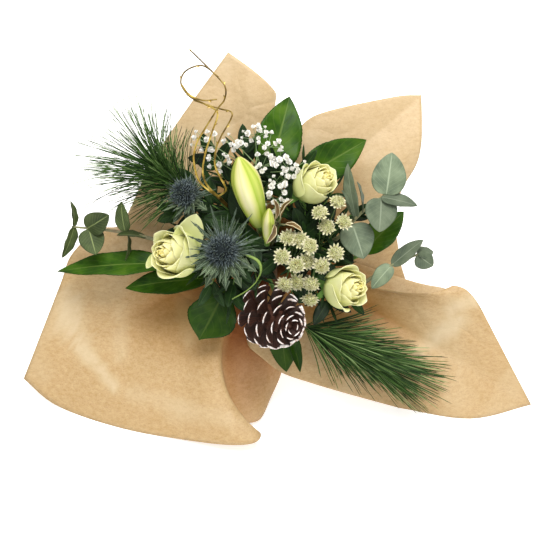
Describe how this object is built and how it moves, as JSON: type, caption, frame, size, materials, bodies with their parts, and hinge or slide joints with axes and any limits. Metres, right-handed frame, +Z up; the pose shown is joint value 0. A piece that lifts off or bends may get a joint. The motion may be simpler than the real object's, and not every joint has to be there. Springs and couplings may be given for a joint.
{
  "type": "mixed flower bouquet",
  "caption": "Hand-tied mixed bouquet of roses, lily buds, sea holly, a pine cone, pine and leafy greens, gathered in a sheet of brown kraft paper and laid on its side.",
  "frame": {"origin": "on the surface, under the middle of the bouquet's bounding box", "axes": "+X to the right as seen from the flowers' side, +Y from the paper's front edge back towards the cut stem ends, +Z up; the bouquet's own axis leans 45 degrees from the vertical, with the flowers towards -Y and up"},
  "size_m": [0.535, 0.3054, 0.3557],
  "materials": {
    "kraft": "brown kraft paper with a faint sheen",
    "jute": "twisted jute cord",
    "rose": "fresh cream petals, greener outside",
    "stem": "fresh green stem",
    "lily": "fresh bud, lime edges on cream",
    "holly": "matt blue-grey flower head",
    "bract": "matt blue-green bracts and stem",
    "cone": "dark woody scales with white painted rims",
    "pine": "waxy needles",
    "eucalyptus": "matt waxy leaves",
    "gypsophila": "small white florets on green threads",
    "masterwort": "papery green-white bracts",
    "lemon_leaf": "glossy leather-like leaves",
    "gap_leaf": "dark satin leaves",
    "gilt": "gold paint on thin twigs",
    "golden_leaf": "bronzed satin leaves"
  },
  "bodies": {
    "root": {"paper_wrap": "kraft", "neck_tie": "jute", "rose_left_bloom": "rose", "rose_top_bloom": "rose", "rose_right_bloom": "rose", "rose_left_stem": "stem", "rose_top_stem": "stem", "rose_right_stem": "stem", "lily_stem": "stem", "lily_bud_large": "lily", "lily_bud_small": "lily", "sea_holly_upper_head": "holly", "sea_holly_lower_head": "holly", "sea_holly_upper_stem": "bract", "sea_holly_lower_stem": "bract", "pine_cone": "cone", "pine_cone_pick": "cone", "pine_left": "pine", "pine_right": "pine", "eucalyptus_left": "eucalyptus", "eucalyptus_right_upper": "eucalyptus", "eucalyptus_right_lower": "eucalyptus", "gypsophila": "gypsophila", "masterwort_left": "masterwort", "masterwort_right": "masterwort", "lemon_leaf_top": "lemon_leaf", "lemon_leaf_upper_right": "lemon_leaf", "lemon_leaf_right": "lemon_leaf", "lemon_leaf_left": "lemon_leaf", "lemon_leaf_bottom_left": "lemon_leaf", "lemon_leaf_bottom": "lemon_leaf", "gilded_twigs": "gilt", "golden_leaves": "golden_leaf", "gap_leaves_left": "gap_leaf", "gap_leaves_right": "gap_leaf"}
  },
  "joints": []
}
